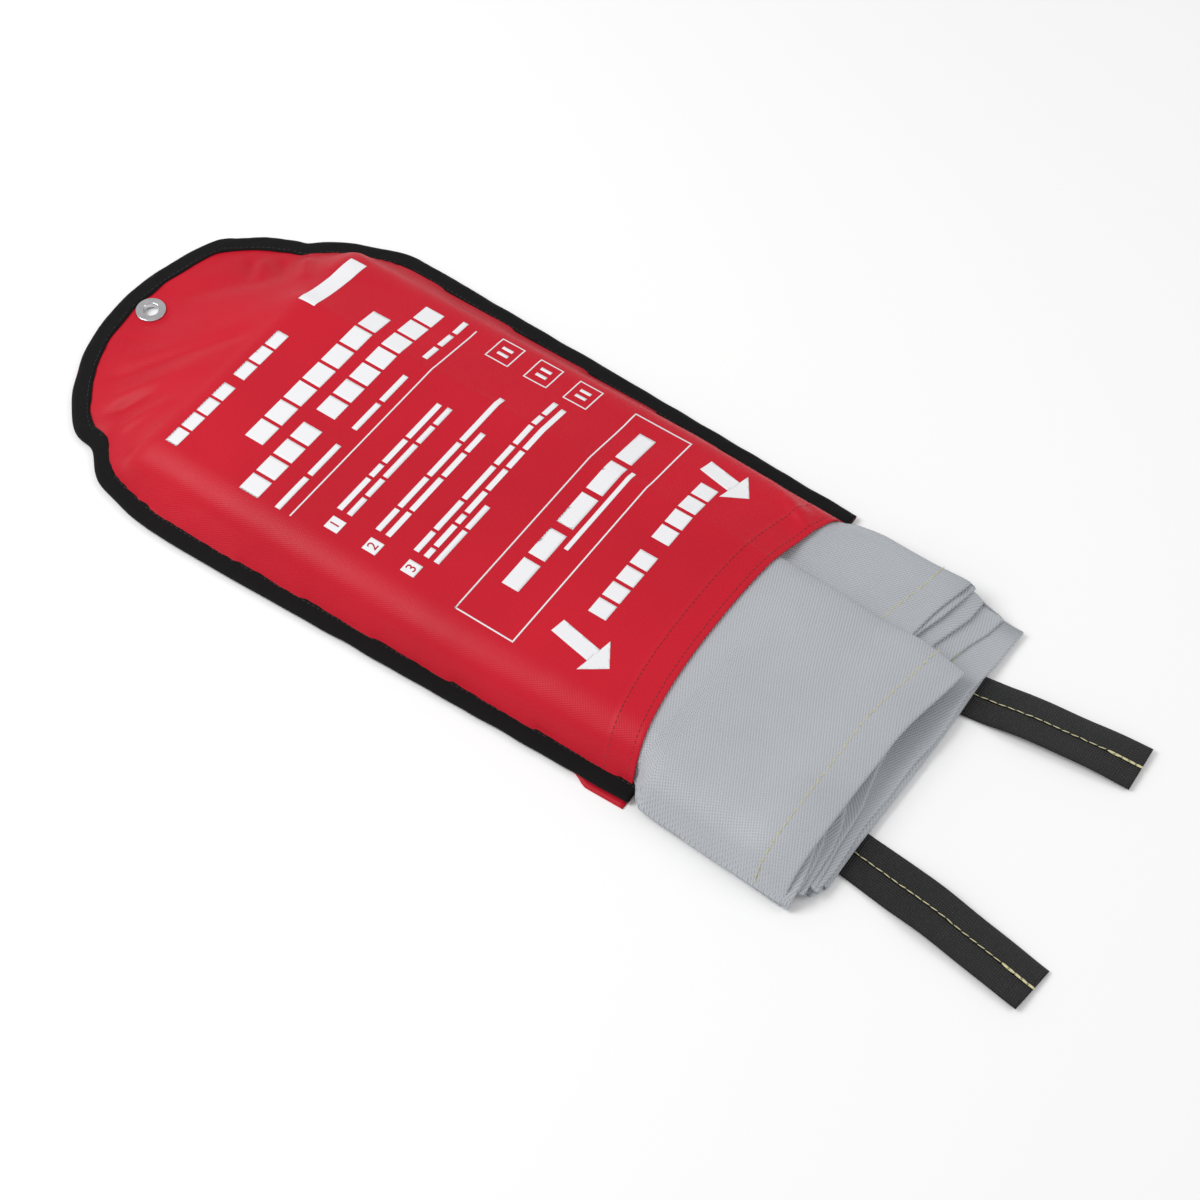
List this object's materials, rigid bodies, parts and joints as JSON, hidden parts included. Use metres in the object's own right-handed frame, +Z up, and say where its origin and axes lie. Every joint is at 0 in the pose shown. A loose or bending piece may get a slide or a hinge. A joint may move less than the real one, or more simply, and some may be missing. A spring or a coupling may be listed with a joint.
{
  "type": "fire blanket in storage bag",
  "caption": "Grey coated glass-cloth fire blanket folded into a flat red bag with a round, eyeleted head, black edge binding and an open mouth with black pull straps.",
  "frame": {"origin": "middle of the whole object's box, at the height of the surface that the bag lies on", "axes": "+X from the bag's round head through its mouth and along the pull straps; +Z up through the front panel; +Y across the bag"},
  "size_m": [0.7299, 0.266, 0.0284],
  "materials": {
    "red_coated_cloth": "satin",
    "black_binding_tape": "matte",
    "plated_eyelet": "polished",
    "black_thread": "satin",
    "dark_red_thread": "satin",
    "grey_glass_cloth": "satin",
    "yellow_thread": "satin",
    "black_strap_tape": "matte",
    "cream_thread": "satin",
    "white_print": "satin"
  },
  "bodies": {
    "bag": {"front_panel": "red_coated_cloth", "back_panel": "red_coated_cloth", "edge_binding": "black_binding_tape", "eyelet": "plated_eyelet", "eyelet_washer": "plated_eyelet", "binding_stitching": "black_thread", "front_hem_stitching": "dark_red_thread", "back_hem_stitching": "dark_red_thread"},
    "blanket": {"blanket_sheet": "grey_glass_cloth", "blanket_hem_stitching": "yellow_thread", "near_strap_root": "black_strap_tape", "far_strap_root": "black_strap_tape", "strap_anchor_stitching": "yellow_thread"},
    "near_strap": {"near_pull_strap": "black_strap_tape", "near_strap_stitching": "cream_thread", "near_strap_bartack": "cream_thread"},
    "far_strap": {"far_pull_strap": "black_strap_tape", "far_strap_stitching": "cream_thread", "far_strap_bartack": "cream_thread"}
  },
  "joints": [
    {"name": "blanket_pull", "type": "slide", "parent": "bag", "child": "blanket", "axis": [1, 0, 0], "range_m": [0, 0.4]},
    {"name": "near_strap_flop", "type": "hinge", "parent": "blanket", "child": "near_strap", "pos_m": [0.249, -0.077, 0.0012], "axis": [0, -1, 0], "range_deg": [0, 90]},
    {"name": "far_strap_flop", "type": "hinge", "parent": "blanket", "child": "far_strap", "pos_m": [0.249, 0.051, 0.0012], "axis": [0, -1, 0], "range_deg": [0, 90]}
  ]
}
